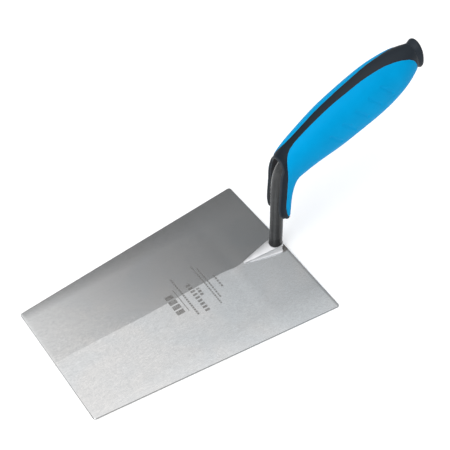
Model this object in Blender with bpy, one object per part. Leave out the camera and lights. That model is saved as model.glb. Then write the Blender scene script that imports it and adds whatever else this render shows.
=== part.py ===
"""Bucket trowel: ground steel blade, welded tongue and cranked shank, two-material handle with a butt cap.

Metres, +Z up. The origin is on the blade's flat underside, below the foot of the shank.
The toe of the blade points along -X and the butt of the handle along +X. The XZ plane is the symmetry plane.
"""

import math

import bmesh
import bpy
import numpy as np
from mathutils import Vector

MM = 0.001
GAP = 0.3 * MM
MERGE = 0.001 * MM
WELD_SMOOTHING = 40

# Blade: a trapezoid, wide at the heel under the handle and narrow at the toe.
BLADE_LENGTH = 180 * MM
HEEL_X = 5 * MM
HEEL_WIDTH = 139 * MM
TOE_WIDTH = 107.4 * MM
BLADE_EDGE = 1.2 * MM
RIDGE_AT_HEEL = 2.8 * MM
RIDGE_AT_TOE = 1.6 * MM
CORNER_RADIUS = 2.2 * MM
CORNER_STEPS = 5
EDGE_CHAMFER = 0.45 * MM
RIDGE_CUTS = 9

# Tongue: a low wedge with a flat top, from a point on the ridge to a rounded rear under the shank.
TONGUE_TIP_X = -27 * MM
TONGUE_REAR_X = 4.4 * MM
TONGUE_TIP_HALF_WIDTH = 0.6 * MM
TONGUE_HALF_WIDTH = 5.4 * MM
TONGUE_FULLNESS = 0.85
TONGUE_TOP = 6.2 * MM
TONGUE_LEVEL_X = -5 * MM
TONGUE_TIP_HEIGHT = 0.5 * MM
TONGUE_RISE_RINGS = 6
TONGUE_REAR_RINGS = 6
TONGUE_LAST_TURN = math.radians(82)

# Weld beads along both sides of the tongue.
WELD_START_X = -23 * MM
WELD_END_X = 1 * MM
WELD_LEAST_WIDTH = 0.4 * MM
WELD_WIDTH = 1.9 * MM
WELD_TOP_DROP = 0.5 * MM
WELD_TOE_HEIGHT = 0.2 * MM
WELD_WAIST = (0.4, 0.5)
WELD_RINGS = 7

# Shank: a round rod with a crank in it, bevelled at its foot, whose tang tapers inside the handle.
SHANK_RADIUS = 4.6 * MM
SHANK_FOOT_RADIUS = 3.2 * MM
TANG_END_RADIUS = 3.2 * MM
SHANK_SIDES = 24
SHANK_ROUTE = (
    # (x, z) in millimetres along the centre of the rod
    (-0.7, 6.5), (0.2, 12), (1.6, 25), (2.9, 38), (4.3, 52),
    (5.9, 63), (8.4, 70.2), (13, 75.4), (20.5, 79.8), (32, 84.6),
)
ROWS_PER_KNOT = 3
TANG_FROM_U = 5
TANG_END_U = 7.2
BORE_END_GAP = 1.5 * MM

# Weld ring that fills the bevel at the shank's foot, as (radius, height above its base) in millimetres.
RING_PROFILE = ((3.85, 0), (5.0, 0), (5.05, 0.4), (4.9, 0.8), (4.7, 0.8))

# Handle: stations along the centre line, each (x, z, half height, half width) in millimetres, then the exponent
# of the superellipse across it: 2 is an ellipse, and more is squarer.
HANDLE_STATIONS = (
    (4.5, 30.7, 6.1, 9.0, 3.0),
    (5.5, 46.0, 6.2, 9.4, 3.0),
    (8.7, 61.9, 7.7, 9.7, 2.7),
    (14.8, 73.2, 12.6, 10.5, 2.3),
    (29.2, 81.6, 15.6, 12.2, 2.1),
    (45.2, 88.2, 18.0, 13.7, 2.1),
    (60.5, 94.1, 19.0, 14.3, 2.1),
    (76.4, 99.8, 19.3, 14.5, 2.1),
    (90.6, 105.1, 18.2, 14.0, 2.1),
    (104.7, 110.3, 14.3, 12.3, 2.1),
    (116.3, 114.0, 10.0, 8.1, 2.2),
)
HANDLE_RINGS = 30
RING_SPACING = 0.08
NOSE_LENGTH_U = 0.36
NOSE_SMALLEST = 0.45
NOSE_TILT = math.radians(50)
NOSE_TILT_U = 1.0
BUTT_TILT = math.radians(9)
BUTT_TILT_U = 1.5

# The soft grip covers the handle outside a dark spine: (station number, half angle of the spine in degrees).
SPINE_ANGLES = (
    (0.28, 106), (0.43, 98), (0.6, 91), (0.9, 88.5), (1.45, 87), (1.8, 84), (2.12, 80.5), (2.5, 74.5),
    (2.75, 65.5), (2.9, 56.5), (3.05, 44.5), (3.2, 31), (3.35, 20.5), (3.5, 15), (3.75, 11.5), (4.2, 10.7),
    (5.0, 11), (5.8, 11.2), (6.25, 12.5), (7.1, 14), (7.6, 16.5), (8.03, 19), (8.4, 21.5), (8.75, 27.5),
    (9.05, 35), (9.4, 49), (9.6, 62), (9.7, 72), (9.78, 87), (9.83, 104),
)
SPINE_STEP = 9
GRIP_END_GAPS_U = (0.035, 0.045)
GRIP_THICKNESS = 2.2 * MM
GRIP_END_THICKNESS = 1.3 * MM
GRIP_FULL_FROM_U = 1.2
GRIP_SIDE_GAP = 0.6 * MM
SPINE_SEGMENTS = 8
GRIP_SEGMENTS = 22

# Open channel in the front of the neck, in which the shank lies.
CHANNEL_HALF_WIDTH = 6.9 * MM
CHANNEL_ARCH_Z = 73.5 * MM
CHANNEL_FRONT_X = -12 * MM
CHANNEL_BACK_X = 9.5 * MM
CHANNEL_FLOOR_Z = 24 * MM
CHANNEL_LEVELS = 6
ARCH_STEPS = 8
ARCH_LAST_TURN = 0.49 * math.pi

# Butt cap: a flared end piece with a plug that fills a socket in the core.
CAP_RINGS = (
    # (x, z, half height, half width, tilt in degrees)
    (117.3, 114.2, 10.2, 8.0, 8),
    (118.6, 114.5, 11.2, 8.2, 5),
    (119.6, 114.6, 11.2, 8.1, 4),
    (120.4, 114.7, 10.6, 7.5, 4),
)
CAP_SEGMENTS = 40
PLUG_HALF_HEIGHT = 6.0 * MM
PLUG_HALF_WIDTH = 4.4 * MM
PLUG_LENGTH = 13 * MM
PLUG_ROOT = 2.5 * MM

COLOURS = {
    # name: (base colour, metallic, roughness)
    "ground_steel": ((0.62, 0.63, 0.64), 1.0, 0.30),
    "polished_steel": ((0.80, 0.81, 0.82), 1.0, 0.18),
    "dark_lacquer": ((0.10, 0.105, 0.11), 0.3, 0.35),
    "charcoal_plastic": ((0.025, 0.032, 0.042), 0.0, 0.50),
    "blue_rubber": ((0.0, 0.36, 0.78), 0.0, 0.45),
}


def clear_scene():
    for item in list(bpy.data.objects):
        bpy.data.objects.remove(item, do_unlink=True)


def make_material(name):
    colour, metallic, roughness = COLOURS[name]
    material = bpy.data.materials.new(name)
    material.use_nodes = True
    shader = material.node_tree.nodes["Principled BSDF"]
    shader.inputs["Base Color"].default_value = (*colour, 1)
    shader.inputs["Metallic"].default_value = metallic
    shader.inputs["Roughness"].default_value = roughness
    return material


def add_object(name, mesh_data, material=None, smooth_angle=None):
    """Links the bmesh to the scene as a mesh object and frees the bmesh."""
    bmesh.ops.recalc_face_normals(mesh_data, faces=mesh_data.faces)
    mesh = bpy.data.meshes.new(name)
    mesh_data.to_mesh(mesh)
    mesh_data.free()
    if smooth_angle is not None:
        mesh.shade_smooth()
        mesh.set_sharp_from_angle(angle=math.radians(smooth_angle))
    if material:
        mesh.materials.append(material)
    item = bpy.data.objects.new(name, mesh)
    bpy.context.scene.collection.objects.link(item)
    return item


def cut(item, cutters):
    """Takes each cutter out of the item with a Boolean, and hides the cutter."""
    for cutter in cutters:
        cutter.hide_render = True
        cutter.display_type = "WIRE"
        modifier = item.modifiers.new(cutter.name, "BOOLEAN")
        modifier.operation = "DIFFERENCE"
        modifier.solver = "EXACT"
        modifier.object = cutter


# Curves


def natural_spline(values, where):
    """A natural cubic spline through values at the knots 0, 1, 2 ..., read at the places in where."""
    count = len(values)
    system = np.zeros((count, count))
    right = np.zeros((count, values.shape[1]))
    system[0, 0] = 1
    system[-1, -1] = 1
    for i in range(1, count - 1):
        system[i, i - 1:i + 2] = (1, 4, 1)
        right[i] = 6 * (values[i - 1] - 2 * values[i] + values[i + 1])
    second = np.linalg.solve(system, right)
    index = np.clip(np.floor(where).astype(int), 0, count - 2)
    after = (where - index)[:, None]
    before = 1 - after
    bend = (before**3 - before) * second[index] + (after**3 - after) * second[index + 1]
    return before * values[index] + after * values[index + 1] + bend / 6


def handle_row(u):
    """Centre x, z, half height, half width, slope and exponent of the handle at station number u."""
    step = 0.01
    here, back, ahead = natural_spline(np.array(HANDLE_STATIONS), np.array([u, u - step, u + step]))
    slope = math.atan2(ahead[1] - back[1], ahead[0] - back[0])
    return *(here[:4] * MM), slope, here[4]


def nose_scale(u):
    """The handle's lower end is rounded: full size from NOSE_LENGTH_U on, smaller below it."""
    if u >= NOSE_LENGTH_U:
        return 1.0
    down = 1 - u / NOSE_LENGTH_U
    return max(math.sqrt(1 - down * down), NOSE_SMALLEST)


def spine_angle(u):
    """Half angle of the dark spine at station number u, read off between the listed angles."""
    places, angles = zip(*SPINE_ANGLES)
    return math.radians(np.interp(u, places, angles))


def section_point(row, angle, inset=0.0):
    """A point on a superellipse across the centre line. Angle 0 is on the spine, and pi / 2 on the +Y side."""
    x, z, half_height, half_width, slope, exponent = row
    along = math.copysign(abs(math.cos(angle)) ** (2 / exponent), math.cos(angle)) * (half_height - inset)
    across = math.copysign(abs(math.sin(angle)) ** (2 / exponent), math.sin(angle)) * (half_width - inset)
    return Vector((x - math.sin(slope) * along, across, z + math.cos(slope) * along))


def spread(start, end, segments):
    return [start + (end - start) * i / segments for i in range(segments + 1)]


# Lofts


def loft(rings):
    """A closed solid through rings that all hold the same number of points, with flat ends."""
    mesh = bmesh.new()
    layers = [[mesh.verts.new(point) for point in ring] for ring in rings]
    for low, high in zip(layers, layers[1:]):
        for i in range(len(low)):
            j = (i + 1) % len(low)
            mesh.faces.new((low[i], low[j], high[j], high[i]))
    mesh.faces.new(layers[0])
    mesh.faces.new(layers[-1][::-1])
    return mesh


def tube(rows, sides):
    """Round or elliptical rings on the XZ plane, lofted. Each row is (x, z, half height, half width, slope)."""
    angles = [2 * math.pi * i / sides for i in range(sides)]
    return loft([[section_point((*row, 2), angle) for angle in angles] for row in rows])


# Blade


def blade_half_width(x):
    share = (HEEL_X - x) / BLADE_LENGTH
    return (HEEL_WIDTH + (TOE_WIDTH - HEEL_WIDTH) * share) / 2


def ridge_height(x):
    share = (HEEL_X - x) / BLADE_LENGTH
    return RIDGE_AT_HEEL + (RIDGE_AT_TOE - RIDGE_AT_HEEL) * share


def blade_top(x, y):
    """Height of the blade's ground top: highest on the centre line and thin at the sides."""
    share = min(abs(y) / blade_half_width(x), 1)
    return ridge_height(x) + (BLADE_EDGE - ridge_height(x)) * share


def blade_outline(inset):
    """The trapezoid's outline with its four corners rounded, anticlockwise from above."""
    toe_x = HEEL_X - BLADE_LENGTH
    side_turn = math.atan2((HEEL_WIDTH - TOE_WIDTH) / 2, BLADE_LENGTH)
    corners = (
        (HEEL_X, 1, 0, math.pi / 2 + side_turn),
        (toe_x, 1, math.pi / 2 + side_turn, math.pi),
        (toe_x, -1, math.pi, 1.5 * math.pi - side_turn),
        (HEEL_X, -1, 1.5 * math.pi - side_turn, 2 * math.pi),
    )
    points = []
    for corner_x, side, start, end in corners:
        inward = CORNER_RADIUS if corner_x == toe_x else -CORNER_RADIUS
        centre_x = corner_x + inward
        centre_y = side * (blade_half_width(centre_x) - CORNER_RADIUS / math.cos(side_turn))
        for angle in spread(start, end, CORNER_STEPS):
            reach = CORNER_RADIUS - inset
            points.append((centre_x + reach * math.cos(angle), centre_y + reach * math.sin(angle)))
    return points


def make_blade(material):
    mesh = bmesh.new()
    outline = blade_outline(0)
    chamfered = blade_outline(EDGE_CHAMFER)
    layers = (
        [mesh.verts.new((x, y, 0)) for x, y in outline],
        [mesh.verts.new((x, y, BLADE_EDGE - EDGE_CHAMFER)) for x, y in outline],
        [mesh.verts.new((x, y, BLADE_EDGE)) for x, y in chamfered],
    )
    for low, high in zip(layers, layers[1:]):
        for i in range(len(low)):
            j = (i + 1) % len(low)
            mesh.faces.new((low[i], low[j], high[j], high[i]))
    mesh.faces.new(layers[0][::-1])
    top = mesh.faces.new(layers[-1])
    cuts = [((0, 0, 0), (0, 1, 0))]
    cuts += [((x, 0, 0), (1, 0, 0)) for x in spread(HEEL_X - BLADE_LENGTH, HEEL_X, RIDGE_CUTS + 1)[1:-1]]
    parts = [top, *top.edges, *top.verts]
    for place, normal in cuts:
        result = bmesh.ops.bisect_plane(mesh, geom=parts, dist=1e-7, plane_co=place, plane_no=normal)
        parts = result["geom"]
    for vertex in {v for part in parts if isinstance(part, bmesh.types.BMFace) for v in part.verts}:
        if abs(vertex.co.y) < 1e-6:
            vertex.co.z = ridge_height(vertex.co.x)
    return add_object("blade", mesh, material)


# Tongue, its welds, and the shank


def tongue_half_width(x):
    """Half width of the tongue's top: it widens from the tip, and closes in an arc behind x = 0."""
    if x > 0:
        return TONGUE_HALF_WIDTH * math.sqrt(1 - (x / TONGUE_REAR_X) ** 2)
    share = 1 - x / TONGUE_TIP_X
    return TONGUE_TIP_HALF_WIDTH + (TONGUE_HALF_WIDTH - TONGUE_TIP_HALF_WIDTH) * share**TONGUE_FULLNESS


def tongue_top(x):
    """The tongue's top rises from its tip to TONGUE_LEVEL_X, and is level from there to its rear."""
    tip = ridge_height(TONGUE_TIP_X) + GAP + TONGUE_TIP_HEIGHT
    share = min((x - TONGUE_TIP_X) / (TONGUE_LEVEL_X - TONGUE_TIP_X), 1)
    return tip + (TONGUE_TOP - tip) * share


def make_tongue(material):
    places = spread(TONGUE_TIP_X, TONGUE_LEVEL_X, TONGUE_RISE_RINGS)
    places += [TONGUE_REAR_X * math.sin(turn) for turn in spread(0, TONGUE_LAST_TURN, TONGUE_REAR_RINGS)]
    rings = []
    for x in places:
        half = tongue_half_width(x)
        edge = blade_top(x, half) + GAP
        middle = ridge_height(x) + GAP
        top = tongue_top(x)
        corners = ((-half, edge), (0, middle), (half, edge), (half, top), (0, top), (-half, top))
        rings.append([Vector((x, y, z)) for y, z in corners])
    return add_object("blade_tongue", loft(rings), material)


def make_tongue_weld(name, side, material):
    """A fillet between the tongue's side and the blade, fading out towards the tip."""
    rings = []
    for x in spread(WELD_START_X, WELD_END_X, WELD_RINGS):
        share = (x - WELD_START_X) / (WELD_END_X - WELD_START_X)
        inner = tongue_half_width(min(x, 0)) + GAP
        outer = inner + WELD_LEAST_WIDTH + (WELD_WIDTH - WELD_LEAST_WIDTH) * share
        foot_in = blade_top(x, inner) + GAP
        foot_out = blade_top(x, outer) + GAP
        top = tongue_top(x) - WELD_TOP_DROP
        waist_y = inner + WELD_WAIST[0] * (outer - inner)
        waist_z = foot_out + WELD_WAIST[1] * (top - foot_out)
        profile = ((inner, foot_in), (outer, foot_out), (outer, foot_out + WELD_TOE_HEIGHT),
                   (waist_y, waist_z), (inner, top))
        rings.append([Vector((x, side * y, z)) for y, z in profile])
    return add_object(name, loft(rings), material, WELD_SMOOTHING)


def shank_rows(radius_gap, tang_extra=0.0):
    """Rows along the rod: its own route, then the handle's centre line up to the end of the tang."""
    route = [(x * MM, z * MM) for x, z in SHANK_ROUTE]
    route += [handle_row(u)[:2] for u in spread(TANG_FROM_U, TANG_END_U, 3)]
    last = len(route) - 1
    places = np.array(spread(0, last, ROWS_PER_KNOT * last))
    path = natural_spline(np.array(route), places)
    slopes = np.gradient(path, axis=0)
    taper_from = len(SHANK_ROUTE) - 1
    rows = []
    for place, (x, z), (dx, dz) in zip(places, path, slopes):
        share = max(place - taper_from, 0) / (last - taper_from)
        radius = SHANK_RADIUS + (TANG_END_RADIUS - SHANK_RADIUS) * share + radius_gap
        rows.append([x, z, radius, radius, math.atan2(dz, dx)])
    rows[-1][0] += tang_extra * math.cos(rows[-1][4])
    rows[-1][1] += tang_extra * math.sin(rows[-1][4])
    return rows


def make_shank(material):
    rows = shank_rows(0)
    rows[0][2:] = (SHANK_FOOT_RADIUS, SHANK_FOOT_RADIUS, math.pi / 2)
    rows[1][4] = math.pi / 2
    return add_object("shank", tube(rows, SHANK_SIDES), material, 40)


def make_shank_weld(material):
    """A low ring of weld that fills the bevel at the foot of the rod."""
    base = TONGUE_TOP + GAP
    height = max(level for _, level in RING_PROFILE) * MM
    rows = shank_rows(0)
    x = np.interp(base + height / 2, [row[1] for row in rows], [row[0] for row in rows])
    mesh = bmesh.new()
    corners = [mesh.verts.new((x + radius * MM, 0, base + level * MM)) for radius, level in RING_PROFILE]
    edges = [mesh.edges.new((corners[i - 1], corners[i])) for i in range(len(corners))]
    bmesh.ops.spin(mesh, geom=corners + edges, cent=(x, 0, 0), axis=(0, 0, 1), angle=2 * math.pi,
                   steps=SHANK_SIDES, use_merge=True, use_duplicate=False)
    bmesh.ops.remove_doubles(mesh, verts=mesh.verts, dist=MERGE)
    return add_object("shank_weld", mesh, material, WELD_SMOOTHING)


# Handle


def ring_places():
    """Station numbers of the handle's rings, closer together where the spine's edge swings fast."""
    first = NOSE_LENGTH_U * (1 - math.sqrt(1 - NOSE_SMALLEST**2))
    fixed = [SPINE_ANGLES[0][0]]
    for (low, start), (high, end) in zip(SPINE_ANGLES, SPINE_ANGLES[1:]):
        fixed += spread(low, high, max(math.ceil(abs(end - start) / SPINE_STEP), 1))[1:]
    free = spread(first, NOSE_LENGTH_U, 5) + spread(NOSE_LENGTH_U, len(HANDLE_STATIONS) - 1, HANDLE_RINGS)[1:]
    free = [u for u in free if min(abs(u - place) for place in fixed) > RING_SPACING]
    return sorted(fixed + free)


def scaled_row(u):
    """The handle's row, made smaller and tilted at the lower end, and tilted back upright at the butt."""
    x, z, half_height, half_width, slope, exponent = handle_row(u)
    scale = nose_scale(u)
    slope -= NOSE_TILT * max(1 - u / NOSE_TILT_U, 0)
    slope -= BUTT_TILT * max(1 - (len(HANDLE_STATIONS) - 1 - u) / BUTT_TILT_U, 0)
    return x, z, half_height * scale, half_width * scale, slope, exponent


def grip_angles(u):
    """Angles round the grip at station number u, from one edge of the spine to the other."""
    half = spine_angle(u)
    return spread(half, 2 * math.pi - half, GRIP_SEGMENTS)


def grip_depth(u):
    """Thickness of the soft grip, thinner towards the lower end of the neck."""
    return np.interp(u, (0, GRIP_FULL_FROM_U), (GRIP_END_THICKNESS, GRIP_THICKNESS))


def core_ring(u, inset):
    """The core's ring: full size over the spine, and inset by the given depth where the grip lies on it."""
    row = scaled_row(u)
    half = spine_angle(u) - GRIP_SIDE_GAP / row[3]
    spine = [section_point(row, angle) for angle in spread(-half, half, SPINE_SEGMENTS)]
    covered = [section_point(row, angle, inset) for angle in (half, *grip_angles(u), 2 * math.pi - half)]
    return spine + covered


def make_channel_cutters():
    """The open channel in the neck's front, with an arched top, and the bore for the rod and tang."""
    bore = add_object("bore_cutter", tube(shank_rows(GAP, BORE_END_GAP), SHANK_SIDES))
    levels = spread(CHANNEL_FLOOR_Z, CHANNEL_ARCH_Z, CHANNEL_LEVELS)
    turns = spread(0, ARCH_LAST_TURN, ARCH_STEPS)[1:]
    levels += [CHANNEL_ARCH_Z + CHANNEL_HALF_WIDTH * math.sin(turn) for turn in turns]
    rows = shank_rows(0)
    rod_x = np.interp(levels, [row[1] for row in rows], [row[0] for row in rows])
    rings = []
    for level, rear in zip(levels, np.minimum(rod_x, CHANNEL_BACK_X)):
        above = max(level - CHANNEL_ARCH_Z, 0)
        half = math.sqrt(CHANNEL_HALF_WIDTH**2 - above**2)
        corners = ((CHANNEL_FRONT_X, -half), (rear, -half), (rear, half), (CHANNEL_FRONT_X, half))
        rings.append([Vector((x, y, level)) for x, y in corners])
    return [bore, add_object("channel_cutter", loft(rings))]


def plug_rows(extra):
    """The plug's rows, from inside the cap into the core's end."""
    x, z, _, _, slope, _ = scaled_row(len(HANDLE_STATIONS) - 1)
    rows = []
    for reach in (PLUG_ROOT, -PLUG_LENGTH - extra):
        rows.append((x + reach * math.cos(slope), z + reach * math.sin(slope),
                     PLUG_HALF_HEIGHT + extra, PLUG_HALF_WIDTH + extra, slope))
    return rows


def make_core(material):
    low = SPINE_ANGLES[0][0]
    high = SPINE_ANGLES[-1][0]
    rings = []
    for u in ring_places():
        depth = grip_depth(u) + GAP
        if u < low or u > high:
            rings.append(core_ring(u, 0))
        elif u == low:
            rings += [core_ring(u, 0), core_ring(u, depth)]
        elif u == high:
            rings += [core_ring(u, depth), core_ring(u, 0)]
        else:
            rings.append(core_ring(u, depth))
    mesh = loft(rings)
    bmesh.ops.remove_doubles(mesh, verts=mesh.verts, dist=MERGE)
    core = add_object("handle_core", mesh, material, 35)
    socket = add_object("socket_cutter", tube(plug_rows(GAP), CAP_SEGMENTS))
    cut(core, [*make_channel_cutters(), socket])
    return core


def make_grip(material):
    """The soft overmould: a shell wrapped round the core's sides and underside, open along the spine."""
    low = SPINE_ANGLES[0][0] + GRIP_END_GAPS_U[0]
    high = SPINE_ANGLES[-1][0] - GRIP_END_GAPS_U[1]
    places = [low, *[u for u in ring_places() if low < u < high], high]
    rings = []
    for u in places:
        row = scaled_row(u)
        angles = grip_angles(u)
        outer = [section_point(row, angle) for angle in angles]
        inner = [section_point(row, angle, grip_depth(u)) for angle in reversed(angles)]
        rings.append(outer + inner)
    return add_object("soft_grip", shell_loft(rings), material, 50)


def shell_loft(rings):
    """As loft, for rings that go out along one side of a shell and back along the other."""
    mesh = bmesh.new()
    layers = [[mesh.verts.new(point) for point in ring] for ring in rings]
    count = len(layers[0])
    for low, high in zip(layers, layers[1:]):
        for i in range(count):
            j = (i + 1) % count
            mesh.faces.new((low[i], low[j], high[j], high[i]))
    for layer in (layers[0], layers[-1]):
        for i in range(count // 2 - 1):
            mesh.faces.new((layer[i], layer[i + 1], layer[count - 2 - i], layer[count - 1 - i]))
    return mesh


def make_cap(material):
    """The flared butt cap, joined to the plug that holds it in the core."""
    end = scaled_row(len(HANDLE_STATIONS) - 1)
    face = (end[0] + GAP * math.cos(end[4]), end[1] + GAP * math.sin(end[4]), *end[2:])
    rows = [face]
    for x, z, half_height, half_width, tilt in CAP_RINGS:
        rows.append((x * MM, z * MM, half_height * MM, half_width * MM, math.radians(tilt), end[5]))
    angles = [2 * math.pi * i / CAP_SEGMENTS for i in range(CAP_SEGMENTS)]
    cap = add_object("butt_cap", loft([[section_point(row, a) for a in angles] for row in rows]), material, 30)
    plug = add_object("plug_body", tube(plug_rows(0), CAP_SEGMENTS))
    plug.hide_render = True
    plug.display_type = "WIRE"
    join = cap.modifiers.new("plug", "BOOLEAN")
    join.operation = "UNION"
    join.solver = "EXACT"
    join.object = plug
    return cap


def build():
    clear_scene()
    materials = {name: make_material(name) for name in COLOURS}
    make_blade(materials["ground_steel"])
    make_tongue(materials["polished_steel"])
    make_tongue_weld("tongue_weld_left", -1, materials["polished_steel"])
    make_tongue_weld("tongue_weld_right", 1, materials["polished_steel"])
    make_shank(materials["dark_lacquer"])
    make_shank_weld(materials["dark_lacquer"])
    make_core(materials["charcoal_plastic"])
    make_grip(materials["blue_rubber"])
    make_cap(materials["charcoal_plastic"])


build()
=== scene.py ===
"""Looks of the bucket trowel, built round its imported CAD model.

Metres, in the model's own axes: the toe of the blade points along -X, the butt of the handle along
+X, and the blade lies on the floor at z = 0. Each visual piece stands for one CAD node and repeats
its shape with a finer mesh, rounded edges and a procedural material.
"""

import math

import bmesh
import bpy
import numpy as np
from mathutils import Euler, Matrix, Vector
from mathutils.kdtree import KDTree


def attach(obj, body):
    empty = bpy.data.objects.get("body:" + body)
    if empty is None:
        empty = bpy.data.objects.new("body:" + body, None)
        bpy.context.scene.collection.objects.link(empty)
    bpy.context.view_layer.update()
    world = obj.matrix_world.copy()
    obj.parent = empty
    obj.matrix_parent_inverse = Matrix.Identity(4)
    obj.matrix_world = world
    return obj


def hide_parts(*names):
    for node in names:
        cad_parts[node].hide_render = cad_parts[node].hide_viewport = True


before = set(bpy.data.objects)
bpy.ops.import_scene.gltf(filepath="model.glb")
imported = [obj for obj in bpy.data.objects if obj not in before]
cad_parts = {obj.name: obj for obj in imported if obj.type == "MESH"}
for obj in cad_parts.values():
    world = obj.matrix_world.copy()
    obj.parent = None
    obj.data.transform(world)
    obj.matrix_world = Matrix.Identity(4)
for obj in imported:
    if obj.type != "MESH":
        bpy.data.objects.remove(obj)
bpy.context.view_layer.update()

MM = 0.001
GRINDING = "grinding"

# CAD nodes whose pieces the satin steel doesn't mirror
UNMIRRORED = ("shank", "handle_core", "soft_grip", "butt_cap")

# Camera
CAMERA_PLACE = (-0.3245, -0.5677, 0.7228)
CAMERA_TURN = (43.063, 5.054, -32.184)
LENS = 111.742
SENSOR = 36
CLIP_START = 0.01
CLIP_END = 300

# Floor
FLOOR_SIZE = 90
FLOOR_DROP = 0.05 * MM
FLOOR_COLOUR = (0.9, 0.9, 0.9, 1)
FLOOR_ROUGHNESS = 0.9
FLOOR_GLOW = 0.25

# Studio. Each pair of levels is the brightness at the two ends of a span of directions: along X for
# the panel, along Y for the dome.
WHITE = (1, 1, 1, 1)
PANEL_AXIS = (-0.309, 0, 0.951)
PANEL_EDGE = (0.603, 0.692)
PANEL_SPAN = (-0.1, 0.6)
PANEL_LEVELS = (1.34, 1.22)
DOME_SPAN = (-0.3, 0.4)
DOME_LEVELS = (0.35, 0.16)
KEY_PLACE = (-0.9, -0.5, 1.3)
KEY_AIM = (0.05, 0, 0.08)
KEY_SIZE = 0.8
KEY_POWER = 8

# Blade
BLADE_LENGTH = 180 * MM
HEEL_X = 5 * MM
HEEL_WIDTH = 139 * MM
TOE_WIDTH = 107.4 * MM
BLADE_EDGE = 1.2 * MM
CORNER_RADIUS = 2.2 * MM
CORNER_STEPS = 14
EDGE_PROFILE = (
    # (inset, height) in millimetres from the underside up, below the chamfer
    (0.13, 0), (0.05, 0.03), (0.01, 0.11), (0.01, 0.66), (0.04, 0.73),
)
TOP_PROFILE = (
    # (inset, depth below the ground top) in millimetres, up the chamfer and on to the top
    (0.09, 0.40), (0.40, 0.10), (0.47, 0.04), (0.56, 0.01), (0.75, 0),
)
CHAMFER_TOLERANCE = 0.001 * MM
CUT_TOLERANCE = 0.0001 * MM

# Ridge between the two ground faces: its height, how it strays to the sides, how hollow the faces
# beside it are, and where the mesh is cut to follow that
RIDGE_AT_HEEL = 2.8 * MM
RIDGE_AT_TOE = 1.6 * MM
RIDGE_OFF_CENTRE = 0.9 * MM
RIDGE_WANDER = 0.45 * MM
RIDGE_WAVE = 108 * MM
RIDGE_CREST_X = -50 * MM
RIDGE_DIP = 1.1 * MM
RIDGE_DIP_X = -34 * MM
RIDGE_DIP_REACH = 5 * MM
RIDGE_TOLERANCE = 0.001 * MM
BLADE_HOLLOW = 1.12
RIDGE_CUTS = 70
HOLLOW_CUTS = (0.08, 0.16, 0.26, 0.38, 0.52, 0.68, 0.84)

# Tongue
TONGUE_TIP_X = -27 * MM
TONGUE_REAR_X = 4.4 * MM
TONGUE_REAR_TURN = math.radians(86)
TONGUE_TIP_HALF_WIDTH = 0.6 * MM
TONGUE_HALF_WIDTH = 5.4 * MM
TONGUE_FULLNESS = 0.85
TONGUE_TOP = 6.2 * MM
TONGUE_LEVEL_X = -5 * MM
TONGUE_TIP_HEIGHT = 0.5 * MM
TONGUE_SINK = 0.05 * MM
TONGUE_FRONT_RINGS = 40
TONGUE_REAR_RINGS = 24
TONGUE_EDGE_RADIUS = 0.28 * MM
TONGUE_EDGE_STEPS = 3
TONGUE_EDGE_ANGLE = math.radians(40)

# Welds along the tongue's sides
WELD_START_X = -23 * MM
WELD_END_X = 1.6 * MM
WELD_START_ROUND = 2 * MM
WELD_END_ROUND = 1.2 * MM
WELD_LEAST_SWELL = 0.1
WELD_LEAST_WIDTH = 0.4 * MM
WELD_WIDTH = 2.1 * MM
WELD_TOP_DROP = 0.45 * MM
WELD_SINK = 0.25 * MM
WELD_RINGS = 150
WELD_FACE_STEPS = 10
WELD_RIPPLE = 0.02 * MM
WELD_PITCH = 1.05 * MM

# Shank
SHANK_RADIUS = 4.6 * MM
SHANK_FOOT_RADIUS = 4.5 * MM
SHANK_SIDES = 72
SHANK_ROUTE = (
    # (x, z) in millimetres along the centre of the rod
    (-0.7, 6.5), (0.2, 12), (1.6, 25), (2.9, 38), (4.3, 52),
    (5.9, 63), (8.4, 70.2), (13, 75.4), (20.5, 79.8), (32, 84.6),
)
SHANK_ROWS_PER_KNOT = 12
SHANK_FOOT_Z = 6.15 * MM

# Weld ring round the rod's foot, centred on this row of the rod
RING_ROW = 2
RING_PROFILE = (
    # (radius, height) in millimetres above the tongue's top
    (4.5, -0.1), (4.7, 0.0), (4.78, 0.15), (4.8, 0.45), (4.74, 0.8), (4.64, 1.0), (4.4, 1.05),
)
RING_SIDES = 2 * SHANK_SIDES
RING_WAVES = 26
RING_RIPPLE = 0.03 * MM

# Handle: stations along the centre line, each (x, z, half height, half width) in millimetres, then
# the exponent of the superellipse across it. A name with U holds a place or a length along the
# handle in station numbers.
HANDLE_STATIONS = (
    (4.5, 30.7, 6.1, 9.0, 3.0),
    (5.5, 46.0, 6.2, 9.4, 3.0),
    (8.7, 61.9, 7.7, 9.7, 2.7),
    (14.8, 73.2, 12.6, 10.5, 2.3),
    (29.2, 81.6, 15.6, 12.2, 2.1),
    (45.2, 88.2, 18.0, 13.7, 2.1),
    (60.5, 94.1, 19.0, 14.3, 2.1),
    (76.4, 99.8, 19.3, 14.5, 2.1),
    (90.6, 105.1, 18.2, 14.0, 2.1),
    (104.7, 110.3, 14.3, 12.3, 2.1),
    (116.1, 113.95, 10.05, 7.6, 2.2),
)
LAST_STATION = len(HANDLE_STATIONS) - 1
SLOPE_STEP_U = 0.01
NOSE_LENGTH_U = 0.36
NOSE_SMALLEST = 0.2
NOSE_TILT = math.radians(50)
NOSE_TILT_U = 1.0
BUTT_TILT = math.radians(9)
BUTT_TILT_U = 1.5
SKIN_INSET = 0.03 * MM

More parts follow.
